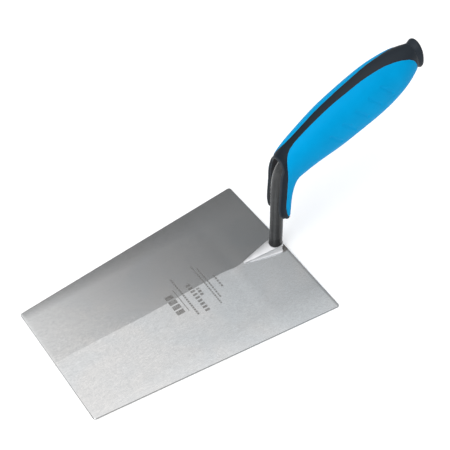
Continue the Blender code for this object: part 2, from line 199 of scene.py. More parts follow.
# Soft grip: (station number, half angle in degrees of the dark spine that it leaves open)
SPINE_ANGLES = (
    (0.28, 106), (0.43, 98), (0.6, 91), (0.9, 88.5), (1.45, 87), (1.8, 84), (2.12, 80.5),
    (2.5, 74.5), (2.75, 65.5), (2.9, 56.5), (3.05, 44.5), (3.2, 31), (3.35, 20.5), (3.5, 15),
    (3.75, 11.5), (4.2, 10.7), (5.0, 11), (5.8, 11.2), (6.25, 12.5), (7.1, 14), (7.6, 16.5),
    (8.03, 19), (8.4, 21.5), (8.75, 27.5), (9.05, 35), (9.4, 49), (9.6, 62), (9.7, 72),
    (9.78, 87), (9.83, 104),
)
GRIP_FROM_U = 0.40
GRIP_END_GAP_U = 0.01
GRIP_END_STEPS = (0, 0.002, 0.006, 0.012, 0.02, 0.03, 0.042)
GRIP_EVEN_FROM = 0.06
GRIP_RING_STEP = 0.036
GRIP_POINTS = 150
GRIP_SAMPLES = 361
GRIP_THICKNESS = 2.2 * MM
GRIP_END_THICKNESS = 1.3 * MM
GRIP_THIN_TO_U = 3.3
GRIP_FULL_FROM_U = 4.2
GRIP_SEAM = 0.12 * MM
GRIP_EDGE_RADIUS = 0.55 * MM
GRIP_EDGE_SHARES = (0, 0.04, 0.12, 0.24, 0.4, 0.6, 0.85, 1.2)
GRIP_END_SCALE = 15 * MM

# Shallow slanted grooves in both flanks of the grip: (station number, degrees past the middle of
# the side, towards the underside), then lengths in millimetres
GROOVE_PLACES = ((5.0, 0), (5.7, -5), (6.4, -10), (7.1, -14), (7.8, -17))
GROOVE_HALF_LENGTH = 6.0
GROOVE_HALF_WIDTH = 1.2
GROOVE_SHOULDER = 0.8
GROOVE_SLANT = math.radians(62)
GROOVE_DEPTH = 0.4 * MM
GROOVE_STATION_GAP = 15.5

# Hard core
CORE_RING_STEP = 0.06
CORE_NOSE_RINGS = 8
CORE_BUTT_RINGS = 5
CORE_LEDGE_U = 0.001
CORE_SPINE_POINTS = 41
CORE_COVERED_POINTS = 61
CORE_VOXEL = 0.44 * MM
CORE_SMOOTHING_ROUNDS = 8
CORE_SMOOTHING_FACTOR = 0.5
SPINE_DROP = 0.22 * MM
SPINE_LAP = 0.6 * MM
END_LAP_U = 0.04

# Open channel in the front of the neck, and the rod's bore behind it
CHANNEL_HALF_WIDTH = 7.1 * MM
CHANNEL_ARCH_Z = 75.3 * MM
CHANNEL_FRONT_X = -12 * MM
CHANNEL_BACK_X = 15 * MM
CHANNEL_BEHIND_ROD = 3 * MM
CHANNEL_FLOOR_Z = 24 * MM
CHANNEL_LEVELS = 24
ARCH_STEPS = 30
ARCH_TURN = 0.49 * math.pi
WALL_TOLERANCE = 0.3 * MM
BORE_GAP = 1.0 * MM
BORE_END_X = 30 * MM
BORE_ROWS_PER_KNOT = 6
BORE_SIDES = 48

# Bead along the rim of the channel
RIM_FROM_U = 0.12
RIM_TO_U = 3.6
RIM_STEPS = 700
RIM_ANGLES = 260
RIM_SINK = 0.45 * MM
RIM_RADIUS = 0.85 * MM
RIM_SIDES = 16
RIM_ACROSS = Vector((1, 0, 0.4))
RIM_MERGE = 0.3 * MM
# How far the painted highlight and wear on the rim reach from it
RIM_REACH = 1.3 * MM
# How far into the channel the painted shade takes to reach its full darkness
PAINTED_SHADE_REACH = 3 * MM

# Butt cap
CAP_ROWS = (
    # (x, z, half height, half width, tilt in degrees)
    (115.9, 113.9, 9.9, 7.45, 9),
    (116.6, 114.05, 10.05, 7.45, 8.5),
    (117.4, 114.2, 10.4, 7.7, 7.5),
    (118.2, 114.35, 10.85, 8.0, 6),
    (118.9, 114.5, 11.22, 8.2, 5),
    (119.4, 114.55, 11.25, 8.15, 4.5),
    (119.9, 114.6, 11.0, 7.95, 4),
    (120.3, 114.65, 10.6, 7.55, 4),
    (120.42, 114.7, 10.2, 7.2, 4),
)
CAP_FACE = (
    # (x, share of the last row's size): a shallow dish in the end face
    (120.44, 0.93), (120.40, 0.87), (120.20, 0.80), (120.12, 0.70), (120.10, 0.02),
)
CAP_SIDES = 120
CAP_ROWS_PER_KNOT = 4
CAP_EXPONENT = 2.2

# Places on the object where a finish, a painted sheen or a painted reflection changes, from and to,
# in millimetres
COOL_FROM_X = -130
WARM_FROM_X = -20
# Painted sheen: the blade's top turns lighter from the first y to the second
PAINTED_SHEEN_Y = (8, 58)
# Painted reflection of the dark rod: a dark patch on the blade just behind the tongue
PAINTED_ROD_REFLECTION_X = (0.2, 9)
PAINTED_ROD_REFLECTION_Y = (-8.2, 6.5)
# Heights below which the rod's lacquer is darker: darkest at the foot, fading out higher up
FOOT_DARK_Z = (12, 13)
LOWER_DARK_Z = (22, 50)
PALM_X = (22, 85)
ETCHED_ROWS = (
    # (x, half the size along x, from y, to y) in millimetres, then the dashes' pitch and the
    # share of it that they fill
    (-85.0, 2.9, -13, 7, 5.0, 0.76),
    (-79.6, 0.3, -13.5, 8.5, 1, 1),
    (-75.9, 0.65, -20, 18.2, 2.1, 0.8),
    (-69.0, 1.7, -21, 8, 3.2, 0.62),
    (-65.0, 1.2, -7.4, 0, 3.0, 0.7),
    (-58.4, 0.55, -21, 20, 1.9, 0.78),
    (-55.9, 0.6, -16, 16, 2.3, 0.8),
    (-50.0, 0.7, -9, 4.2, 2.6, 0.75),
)

# Linear colours. A pair is the dark and the light side of a cloudy tone.
STEEL_COOL = (0.600, 0.632, 0.655)
STEEL_WARM = (0.700, 0.690, 0.680)
STEEL_MOTTLE = (0.50, 0.51, 0.52)
# Painted sheen on the blade's +Y half
STEEL_PAINTED_SHEEN = (0.85, 0.86, 0.87)
# Painted reflection of the dark rod, which the blade is kept from mirroring
STEEL_PAINTED_ROD_REFLECTION = (0.10, 0.085, 0.07)
STEEL_ETCHED = (0.15, 0.14, 0.13)
TONGUE_TONES = ((0.70, 0.71, 0.73), (0.78, 0.785, 0.80))
WELD_TONES = ((0.84, 0.85, 0.87), (0.90, 0.905, 0.92))
LACQUER_TONES = ((0.036, 0.038, 0.039), (0.050, 0.052, 0.053))
LACQUER_STREAK = (0.070, 0.073, 0.075)
# The rod's lacquer, darker low down and darkest at the foot
LACQUER_LOWER_DARK = (0.014, 0.014, 0.015)
LACQUER_FOOT_DARK = (0.010, 0.010, 0.011)
CHARCOAL_TONES = ((0.006, 0.012, 0.019), (0.010, 0.017, 0.026))
CHARCOAL_PALM = (0.032, 0.038, 0.046)
# Painted highlight along the channel's rim, with some edge wear
CHARCOAL_RIM_HIGHLIGHT_AND_WEAR = (0.064, 0.072, 0.082)
# Painted shade far inside the channel
CHARCOAL_PAINTED_SHADE = (0.001, 0.001, 0.002)
RUBBER_TONES = ((0.0, 0.312, 0.65), (0.0, 0.338, 0.70))
RUBBER_GRAIN = (0.0, 0.265, 0.565)


# Curves shared with the CAD model


def natural_spline(values, where):
    """A natural cubic spline through values at the knots 0, 1, 2 ..., read at the given places."""
    count = len(values)
    system = np.zeros((count, count))
    right = np.zeros((count, values.shape[1]))
    system[0, 0] = 1
    system[-1, -1] = 1
    for i in range(1, count - 1):
        system[i, i - 1:i + 2] = (1, 4, 1)
        right[i] = 6 * (values[i - 1] - 2 * values[i] + values[i + 1])
    second = np.linalg.solve(system, right)
    index = np.clip(np.floor(where).astype(int), 0, count - 2)
    after = (where - index)[:, None]
    before = 1 - after
    bend = (before**3 - before) * second[index] + (after**3 - after) * second[index + 1]
    return before * values[index] + after * values[index + 1] + bend / 6


def spread(start, end, segments):
    """Evenly spaced numbers from start to end, both included."""
    return [start + (end - start) * i / segments for i in range(segments + 1)]


def handle_row(u):
    """Centre x, z, half height, half width, slope and exponent of the handle at u."""
    places = np.array([u, u - SLOPE_STEP_U, u + SLOPE_STEP_U])
    here, back, ahead = natural_spline(np.array(HANDLE_STATIONS), places)
    slope = math.atan2(ahead[1] - back[1], ahead[0] - back[0])
    return *(here[:4] * MM), slope, here[4]


def scaled_row(u):
    """The handle's row, rounded off and tilted at the lower end, and tilted upright at the butt."""
    x, z, half_height, half_width, slope, exponent = handle_row(u)
    scale = 1.0
    if u < NOSE_LENGTH_U:
        down = 1 - u / NOSE_LENGTH_U
        scale = max(math.sqrt(1 - down * down), NOSE_SMALLEST)
    slope -= NOSE_TILT * max(1 - u / NOSE_TILT_U, 0)
    slope -= BUTT_TILT * max(1 - (LAST_STATION - u) / BUTT_TILT_U, 0)
    return x, z, half_height * scale - SKIN_INSET, half_width * scale - SKIN_INSET, slope, exponent


def signed_power(value, power):
    return math.copysign(abs(value) ** power, value)


def section_point(row, angle, inset=0.0):
    """A point on a superellipse across the centre line.

    Angle 0 is on the spine, and pi / 2 on the +Y side.
    """
    x, z, half_height, half_width, slope, exponent = row
    along = signed_power(math.cos(angle), 2 / exponent) * (half_height - inset)
    across = signed_power(math.sin(angle), 2 / exponent) * (half_width - inset)
    return Vector((x - math.sin(slope) * along, across, z + math.cos(slope) * along))


def spine_angle(u):
    places, angles = zip(*SPINE_ANGLES)
    return math.radians(np.interp(u, places, angles))


def grip_depth(u):
    """Thickness of the grip at u, also how far the core lies below the handle's face there."""
    where = (GRIP_THIN_TO_U, GRIP_FULL_FROM_U)
    return np.interp(u, where, (GRIP_END_THICKNESS, GRIP_THICKNESS))


def blade_half_width(x):
    """Half the blade's width at x, leaving out its rounded corners."""
    share = (HEEL_X - x) / BLADE_LENGTH
    return (HEEL_WIDTH + (TOE_WIDTH - HEEL_WIDTH) * share) / 2


def ridge_height(x):
    share = (HEEL_X - x) / BLADE_LENGTH
    return RIDGE_AT_HEEL + (RIDGE_AT_TOE - RIDGE_AT_HEEL) * share


def ridge_line(x):
    """The y where the two ground faces meet. Ground by hand, the line strays a little."""
    wave = RIDGE_WANDER * math.cos(2 * math.pi * (x - RIDGE_CREST_X) / RIDGE_WAVE)
    dip = RIDGE_DIP * math.exp(-(((x - RIDGE_DIP_X) / RIDGE_DIP_REACH) ** 2))
    return RIDGE_OFF_CENTRE + wave - dip


def blade_top(x, y):
    """Height of the ground top, very slightly hollow, so that it is steepest beside the ridge."""
    share = min(abs(y - ridge_line(x)) / blade_half_width(x), 1)
    return BLADE_EDGE + (ridge_height(x) - BLADE_EDGE) * (1 - share) ** BLADE_HOLLOW


def tongue_half_width(x):
    if x > 0:
        return TONGUE_HALF_WIDTH * math.sqrt(max(1 - (x / TONGUE_REAR_X) ** 2, 0))
    share = 1 - x / TONGUE_TIP_X
    spare = TONGUE_HALF_WIDTH - TONGUE_TIP_HALF_WIDTH
    return TONGUE_TIP_HALF_WIDTH + spare * share**TONGUE_FULLNESS


def tongue_top(x):
    tip = ridge_height(TONGUE_TIP_X) + TONGUE_TIP_HEIGHT
    share = min((x - TONGUE_TIP_X) / (TONGUE_LEVEL_X - TONGUE_TIP_X), 1)
    return tip + (TONGUE_TOP - tip) * share


def shank_rows(radius_gap, rows_per_knot):
    """Rows for tube() along the rod, with the gap added to its radius."""
    last = len(SHANK_ROUTE) - 1
    places = np.array(spread(0, last, rows_per_knot * last))
    path = natural_spline(np.array(SHANK_ROUTE) * MM, places)
    slopes = np.gradient(path, axis=0)
    radius = SHANK_RADIUS + radius_gap
    return [[x, z, radius, radius, math.atan2(dz, dx), 2] for (x, z), (dx, dz) in zip(path, slopes)]


# Mesh building


def add_object(name, mesh_data, smooth_angle):
    """Links the bmesh to the scene as a smooth-shaded object, and frees the bmesh.

    Edges sharper than the angle in degrees, and edges already marked, stay sharp.
    """
    bmesh.ops.recalc_face_normals(mesh_data, faces=mesh_data.faces)
    mesh = bpy.data.meshes.new(name)
    mesh_data.to_mesh(mesh)
    mesh_data.free()
    creases = [edge.index for edge in mesh.edges if edge.use_edge_sharp]
    mesh.shade_smooth()
    mesh.set_sharp_from_angle(angle=math.radians(smooth_angle))
    for index in creases:
        mesh.edges[index].use_edge_sharp = True
    item = bpy.data.objects.new(name, mesh)
    bpy.context.scene.collection.objects.link(item)
    return item


def bridge(mesh, layers):
    """Quads between rings that hold the same number of vertices."""
    for low, high in zip(layers, layers[1:]):
        for i in range(len(low)):
            j = (i + 1) % len(low)
            mesh.faces.new((low[i], low[j], high[j], high[i]))


def loft(rings):
    """A closed solid through rings of points, with flat ends."""
    mesh = bmesh.new()
    layers = [[mesh.verts.new(point) for point in ring] for ring in rings]
    bridge(mesh, layers)
    mesh.faces.new(layers[0])
    mesh.faces.new(layers[-1][::-1])
    return mesh


def shell_loft(rings):
    """As loft, for rings that go out along one side of a shell and back along the other."""
    mesh = bmesh.new()
    layers = [[mesh.verts.new(point) for point in ring] for ring in rings]
    bridge(mesh, layers)
    count = len(layers[0])
    for layer in (layers[0], layers[-1]):
        for i in range(count // 2 - 1):
            mesh.faces.new((layer[i], layer[i + 1], layer[count - 2 - i], layer[count - 1 - i]))
    return mesh


def tube(rows, sides):
    """A closed solid through superellipses, one for each row."""
    angles = [2 * math.pi * i / sides for i in range(sides)]
    return loft([[section_point(row, angle) for angle in angles] for row in rows])


def settle(item, smooth_angle):
    """Applies the item's modifiers to its mesh."""
    graph = bpy.context.evaluated_depsgraph_get()
    mesh = bpy.data.meshes.new_from_object(item.evaluated_get(graph))
    item.modifiers.clear()
    item.data = mesh
    mesh.shade_smooth()
    mesh.set_sharp_from_angle(angle=math.radians(smooth_angle))


def cut(item, cutters):
    """Gives the item a boolean modifier for each cutter."""
    for cutter in cutters:
        modifier = item.modifiers.new(cutter.name, "BOOLEAN")
        modifier.operation = "DIFFERENCE"
        modifier.solver = "EXACT"
        modifier.object = cutter


def finish_piece(item, material, node):
    """Gives the piece its material, and has it ride on the body instead of its CAD node."""
    item.data.materials.clear()
    item.data.materials.append(material)
    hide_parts(node)
    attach(item, "root")
    item.visible_glossy = node not in UNMIRRORED


# Blade, tongue and welds


def blade_outline(inset):
    """The trapezoid's outline with its four corners rounded, anticlockwise from above."""
    toe_x = HEEL_X - BLADE_LENGTH
    side_turn = math.atan2((HEEL_WIDTH - TOE_WIDTH) / 2, BLADE_LENGTH)
    corners = (
        (HEEL_X, 1, 0, math.pi / 2 + side_turn),
        (toe_x, 1, math.pi / 2 + side_turn, math.pi),
        (toe_x, -1, math.pi, 1.5 * math.pi - side_turn),
        (HEEL_X, -1, 1.5 * math.pi - side_turn, 2 * math.pi),
    )
    points = []
    for corner_x, side, start, end in corners:
        inward = CORNER_RADIUS if corner_x == toe_x else -CORNER_RADIUS
        centre_x = corner_x + inward
        centre_y = side * (blade_half_width(centre_x) - CORNER_RADIUS / math.cos(side_turn))
        for angle in spread(start, end, CORNER_STEPS):
            reach = CORNER_RADIUS - inset
            points.append((centre_x + reach * math.cos(angle), centre_y + reach * math.sin(angle)))
    return points


def make_blade():
    """The flat blade with its chamfered edge, raised in the middle to a ridge along its top."""
    mesh = bmesh.new()
    levels = [(inset, height * MM) for inset, height in EDGE_PROFILE]
    levels += [(inset, BLADE_EDGE - drop * MM) for inset, drop in TOP_PROFILE]
    layers = [[mesh.verts.new((x, y, level)) for x, y in blade_outline(inset * MM)]
              for inset, level in levels]
    bridge(mesh, layers)
    mesh.faces.new(layers[0][::-1])
    mesh.faces.new(layers[-1])
    along = (0, 1, 0)
    across = (1, 0, 0)
    stops = spread(HEEL_X - BLADE_LENGTH, HEEL_X, RIDGE_CUTS + 1)[1:-1]
    cuts = [((0, 0, 0), along)]
    cuts += [((0, side * share * TOE_WIDTH / 2, 0), along)
             for share in HOLLOW_CUTS for side in (-1, 1)]
    cuts += [((x, 0, 0), across) for x in stops]
    for place, normal in cuts:
        parts = [*mesh.verts, *mesh.edges, *mesh.faces]
        bmesh.ops.bisect_plane(
            mesh, geom=parts, dist=CUT_TOLERANCE, plane_co=place, plane_no=normal,
        )
    chamfer_foot = EDGE_PROFILE[-1][1] * MM + CHAMFER_TOLERANCE
    on_ridge = []
    for vertex in mesh.verts:
        x, y, z = vertex.co
        if z > chamfer_foot:
            if abs(y) < RIDGE_TOLERANCE:
                y = ridge_line(x)
                on_ridge.append(vertex)
            vertex.co = (x, y, z + blade_top(x, y) - BLADE_EDGE)
    for edge in mesh.edges:
        edge.smooth = not all(vertex in on_ridge for vertex in edge.verts)
    item = add_object("steel_blade", mesh, smooth_angle=50)
    lay_grinding(item.data)
    return item


def lay_grinding(mesh):
    """A flat UV layer whose first axis, along the blade, is the one the sheen is spread along."""
    layer = mesh.uv_layers.new(name=GRINDING)
    for loop in mesh.loops:
        place = mesh.vertices[loop.vertex_index].co
        layer.data[loop.index].uv = (place.x / BLADE_LENGTH, place.y / BLADE_LENGTH)


def make_tongue():
    """The flat-topped wedge between the ridge and the rod, rounded at the rear."""
    places = spread(TONGUE_TIP_X, TONGUE_LEVEL_X, TONGUE_FRONT_RINGS)
    turns = spread(0, TONGUE_REAR_TURN, TONGUE_REAR_RINGS)
    places += [TONGUE_LEVEL_X / 2] + [TONGUE_REAR_X * math.sin(turn) for turn in turns]
    rings = []
    for x in places:
        half = tongue_half_width(x)
        edge = blade_top(x, half) - TONGUE_SINK
        middle = ridge_height(x) - TONGUE_SINK
        top = tongue_top(x)
        corners = (
            (-half, edge), (0, middle), (half, edge), (half, top), (0, top), (-half, top),
        )
        rings.append([Vector((x, y, z)) for y, z in corners])
    item = add_object("tongue", loft(rings), smooth_angle=30)
    bevel = item.modifiers.new("rounded", "BEVEL")
    bevel.width = TONGUE_EDGE_RADIUS
    bevel.segments = TONGUE_EDGE_STEPS
    bevel.limit_method = "ANGLE"
    bevel.angle_limit = TONGUE_EDGE_ANGLE
    settle(item, smooth_angle=30)
    return item


def make_tongue_weld(name, side):
    """A rippled bead that blends the tongue's side into the blade. Side is 1 for +Y, -1 for -Y."""
    rings = []
    for x in spread(WELD_START_X, WELD_END_X, WELD_RINGS):
        share = (x - WELD_START_X) / (WELD_END_X - WELD_START_X)
        end = min((WELD_END_X - x) / WELD_END_ROUND, (x - WELD_START_X) / WELD_START_ROUND, 1)
        swell = math.sqrt(max(1 - (1 - end) ** 2, WELD_LEAST_SWELL**2))
        inner = tongue_half_width(x)
        width = (WELD_LEAST_WIDTH + (WELD_WIDTH - WELD_LEAST_WIDTH) * share) * swell
        foot = blade_top(x, inner + width)
        height = (tongue_top(x) - WELD_TOP_DROP - foot) * swell
        ripple = WELD_RIPPLE * math.cos(2 * math.pi * x / WELD_PITCH) * share
        points = [(inner - WELD_SINK, foot - WELD_SINK), (inner + width, foot - WELD_SINK)]
        for turn in spread(0, math.pi / 2, WELD_FACE_STEPS):
            hollow_y = width * (1 - math.sin(turn))
            hollow_z = height * (1 - math.cos(turn))
            flat = turn / (math.pi / 2)
            wave = math.sin(2 * turn) * ripple
            y = inner + (hollow_y + width * (1 - flat)) / 2 + wave
            z = foot + (hollow_z + height * flat) / 2 + wave
            points.append((y, z))
        points.append((inner - WELD_SINK, foot + height))
        rings.append([Vector((x, side * y, z)) for y, z in points])
    return add_object(name, loft(rings), smooth_angle=45)


# Shank


def make_shank():
    """The cranked rod, upright and a little narrower at its foot."""
    rows = shank_rows(0, SHANK_ROWS_PER_KNOT)
    upright = math.pi / 2
    rows[0] = [rows[0][0], SHANK_FOOT_Z, SHANK_FOOT_RADIUS, SHANK_FOOT_RADIUS, upright, 2]
    rows[1][4] = upright
    return add_object("rod", tube(rows, SHANK_SIDES), smooth_angle=40)


def make_shank_weld():
    """A low bead round the rod's foot, with the faint waves that a torch leaves."""
    centre = shank_rows(0, SHANK_ROWS_PER_KNOT)[RING_ROW][0]
    rings = []
    for radius, level in RING_PROFILE:
        z = TONGUE_TOP + level * MM
        ring = []
        for i in range(RING_SIDES):
            angle = 2 * math.pi * i / RING_SIDES
            reach = radius * MM + RING_RIPPLE * math.cos(RING_WAVES * angle)
            ring.append(Vector((centre + reach * math.cos(angle), reach * math.sin(angle), z)))
        rings.append(ring)
    return add_object("foot_weld", loft(rings), smooth_angle=45)


# Handle


def roll(distance, radius):
    """How far an edge of that radius drops below the surface, at a distance in from the edge."""
    short = max(radius - distance, 0)
    return radius - math.sqrt(max(radius * radius - short * short, 0))


def groove_share(u, angle, row):
    """Depth of the flanks' grooves at this point of the grip, as a share of their full depth."""
    total = 0.0
    off_side = math.degrees(min(angle, 2 * math.pi - angle)) - 90
    radius = (row[2] + row[3]) / 2 / MM
    for place, low in GROOVE_PLACES:
        along = (u - place) * GROOVE_STATION_GAP
        around = math.radians(off_side - low) * radius
        length = along * math.cos(GROOVE_SLANT) + around * math.sin(GROOVE_SLANT)
        width = -along * math.sin(GROOVE_SLANT) + around * math.cos(GROOVE_SLANT)
        past_end = max(abs(length) - GROOVE_HALF_LENGTH + GROOVE_HALF_WIDTH, 0)
        reach = math.hypot(past_end, width)
        share = min(max((GROOVE_HALF_WIDTH - reach) / GROOVE_SHOULDER, 0), 1)
        total += share * share * (3 - 2 * share)
    return total


def grip_ring(u, low, high):
    """The grip's outline across the handle: along its face with rolled edges, and back inside.

    Low and high are the two ends of the grip, where its face rolls over too.
    """
    row = scaled_row(u)
    half = spine_angle(u) + GRIP_SEAM / row[3]
    depth = grip_depth(u)
    fine = np.linspace(half, 2 * math.pi - half, GRIP_SAMPLES)
    points = [section_point(row, angle) for angle in fine]
    steps = [0.0] + [(b - a).length for a, b in zip(points, points[1:])]
    lengths = np.cumsum(steps)
    total = lengths[-1]
    near = GRIP_EDGE_RADIUS * np.array(GRIP_EDGE_SHARES)
    middle = np.linspace(near[-1], total - near[-1], GRIP_POINTS)[1:-1]
    along = np.concatenate([near, middle, (total - near)[::-1]])
    end = min(u - low, high - u) * GRIP_END_SCALE
    outer = []
    angles = np.interp(along, lengths, fine)
    for angle, place in zip(angles, along):
        edge = roll(min(place, total - place, end), GRIP_EDGE_RADIUS)
        groove = groove_share(u, angle, row) * GROOVE_DEPTH
        outer.append(section_point(row, angle, edge + groove))
    inner = [section_point(row, angle, depth) for angle in reversed(angles)]
    return outer + inner


def make_grip():
    """The soft overmould: a shell round the core's sides and underside, open along the spine."""
    low = GRIP_FROM_U + GRIP_END_GAP_U
    high = SPINE_ANGLES[-1][0] - GRIP_END_GAP_U
    count = round((high - low) / GRIP_RING_STEP)
    places = [low + step for step in GRIP_END_STEPS]
    places += spread(low + GRIP_EVEN_FROM, high - GRIP_EVEN_FROM, count)
    places += [high - step for step in reversed(GRIP_END_STEPS)]
    rings = [grip_ring(u, low, high) for u in places]
    return add_object("grip_sleeve", shell_loft(rings), smooth_angle=60)


def core_ring(u, inset):
    """The core's ring: just below the handle's face on the spine, and inset under the grip."""
    row = scaled_row(u)
    edge = spine_angle(u) + SPINE_LAP / row[3]
    half = edge - GRIP_SEAM / row[3]
    full = 2 * math.pi
    bare = spread(-half, half, CORE_SPINE_POINTS - 1)
    covered = [half, *spread(edge, full - edge, CORE_COVERED_POINTS - 3), full - half]
    spine = [section_point(row, angle, SPINE_DROP) for angle in bare]
    return spine + [section_point(row, angle, inset) for angle in covered]


def channel_half_width(z):
    """Half the channel's width at this height, 0 above the arch."""
    above = max(z - CHANNEL_ARCH_Z, 0)
    return math.sqrt(max(CHANNEL_HALF_WIDTH**2 - above**2, 0))


def make_channel_cutters():
    """The open channel in the neck's front, with an arched top, and the bore for the rod."""
    rows = [row for row in shank_rows(BORE_GAP, BORE_ROWS_PER_KNOT) if row[0] < BORE_END_X]
    bore = add_object("bore_cutter", tube(rows, BORE_SIDES), smooth_angle=40)
    levels = spread(CHANNEL_FLOOR_Z, CHANNEL_ARCH_Z, CHANNEL_LEVELS)
    turns = spread(0, ARCH_TURN, ARCH_STEPS)[1:]
    levels += [CHANNEL_ARCH_Z + CHANNEL_HALF_WIDTH * math.sin(turn) for turn in turns]
    rod_x = np.interp(levels, [row[1] for row in rows], [row[0] for row in rows])
    rings = []
    front = CHANNEL_FRONT_X
    for level, rear in zip(levels, np.minimum(rod_x + CHANNEL_BEHIND_ROD, CHANNEL_BACK_X)):
        half = channel_half_width(level)
        corners = ((front, -half), (rear, -half), (rear, half), (front, half))
        rings.append([Vector((x, y, level)) for x, y in corners])
    return [bore, add_object("channel_cutter", loft(rings), smooth_angle=30)]


def rim_points():
    """The edge where the channel breaks out of the neck: up one lobe, over the arch and down."""
    side = []
    for u in spread(RIM_FROM_U, RIM_TO_U, RIM_STEPS):
        row = scaled_row(u)
        was_inside = False
        for angle in np.linspace(0, math.pi / 2, RIM_ANGLES):
            point = section_point(row, angle, RIM_SINK)
            inside = point.y < channel_half_width(point.z)
            if was_inside and not inside:
                if not side or (point - side[-1]).length > RIM_MERGE:
                    side.append(point)
                break
            was_inside = inside
    mirrored = [Vector((point.x, -point.y, point.z)) for point in side]
    return mirrored + side[::-1]


def make_rim(path):
    """A round bead along the rim of the channel."""
    turns = [2 * math.pi * i / RIM_SIDES for i in range(RIM_SIDES)]
    rings = []
    for i, point in enumerate(path):
        along = (path[min(i + 1, len(path) - 1)] - path[max(i - 1, 0)]).normalized()
        first = along.cross(RIM_ACROSS).normalized()
        second = along.cross(first)
        spokes = [math.cos(turn) * first + math.sin(turn) * second for turn in turns]
        rings.append([point + RIM_RADIUS * spoke for spoke in spokes])
    return add_object("rim", loft(rings), smooth_angle=60)


def join_into(item, other):
    """Adds the other object's mesh to the item's, and removes the other object."""
    mesh = bmesh.new()
    mesh.from_mesh(item.data)
    mesh.from_mesh(other.data)
    mesh.to_mesh(item.data)
    mesh.free()
    bpy.data.objects.remove(other)


def mark_channel(mesh, path):
    """Writes on each vertex how near it is to the channel's rim, for a painted highlight, and how
    far inside the channel it lies, for painted shade.
    """
    tree = KDTree(len(path))
    for i, point in enumerate(path):
        tree.insert(point, i)
    tree.balance()
    wall = CHANNEL_HALF_WIDTH + WALL_TOLERANCE
    rim, painted_shade = [], []
    for vertex in mesh.vertices:
        nearest, _, distance = tree.find(vertex.co)
        above = max(vertex.co.z - CHANNEL_ARCH_Z, 0)
        inside = vertex.co.x > nearest.x and math.hypot(vertex.co.y, above) < wall
        rim.append(max(1 - distance / RIM_REACH, 0))
        painted_shade.append(min(distance / PAINTED_SHADE_REACH, 1) if inside else 0)
    mesh.attributes.new("rim", "FLOAT", "POINT").data.foreach_set("value", rim)
    mesh.attributes.new("painted_shade", "FLOAT", "POINT").data.foreach_set("value", painted_shade)


def make_core():
    """The hard core: the neck's two lobes, the spine and the butt collar, with a beaded rim.

    A voxel remesh joins the rim to the body, and smoothing gives every edge its moulded radius.
    """
    low = GRIP_FROM_U + END_LAP_U
    high = SPINE_ANGLES[-1][0] - END_LAP_U
    first = NOSE_LENGTH_U * (1 - math.sqrt(1 - NOSE_SMALLEST**2))
    places = spread(first, low, CORE_NOSE_RINGS)[:-1]
    places += spread(low, high, round((high - low) / CORE_RING_STEP))
    places += spread(high, LAST_STATION, CORE_BUTT_RINGS)[1:]
    rings = []
    for u in places:
        depth = grip_depth(u)
        if u < low or u > high:
            rings.append(core_ring(u, SPINE_DROP))
        elif u == low:
            rings += [core_ring(u, SPINE_DROP), core_ring(u + CORE_LEDGE_U, depth)]
        elif u == high:
            rings += [core_ring(u - CORE_LEDGE_U, depth), core_ring(u, SPINE_DROP)]
        else:
            rings.append(core_ring(u, depth))
    core = add_object("handle_body", loft(rings), smooth_angle=35)
    cutters = make_channel_cutters()
    cut(core, cutters)
    settle(core, smooth_angle=35)
    for cutter in cutters:
        bpy.data.objects.remove(cutter)
    path = rim_points()
    join_into(core, make_rim(path))
    remesh = core.modifiers.new("even", "REMESH")
    remesh.mode = "VOXEL"
    remesh.voxel_size = CORE_VOXEL
    smooth = core.modifiers.new("radii", "SMOOTH")
    smooth.factor = CORE_SMOOTHING_FACTOR
    smooth.iterations = CORE_SMOOTHING_ROUNDS
    settle(core, smooth_angle=180)
    mark_channel(core.data, path)
    return core


def make_cap():
    """The flared butt cap with a shallow dish in its end face."""
    knots = np.array(CAP_ROWS)
    last = len(knots) - 1
    rows = natural_spline(knots, np.array(spread(0, last, CAP_ROWS_PER_KNOT * last)))
    _, end_z, end_high, end_wide, end_tilt = rows[-1]
    sizes = [(x, z, high * MM - SKIN_INSET, wide * MM - SKIN_INSET, tilt)
             for x, z, high, wide, tilt in rows]
    sizes += [(x, end_z, end_high * share * MM, end_wide * share * MM, end_tilt)
              for x, share in CAP_FACE]
    angles = [2 * math.pi * i / CAP_SIDES for i in range(CAP_SIDES)]
    rings = []
    for x, z, high, wide, tilt in sizes:
        row = (x * MM, z * MM, high, wide, math.radians(tilt), CAP_EXPONENT)
        rings.append([section_point(row, angle) for angle in angles])
    return add_object("end_cap", loft(rings), smooth_angle=60)


# Materials


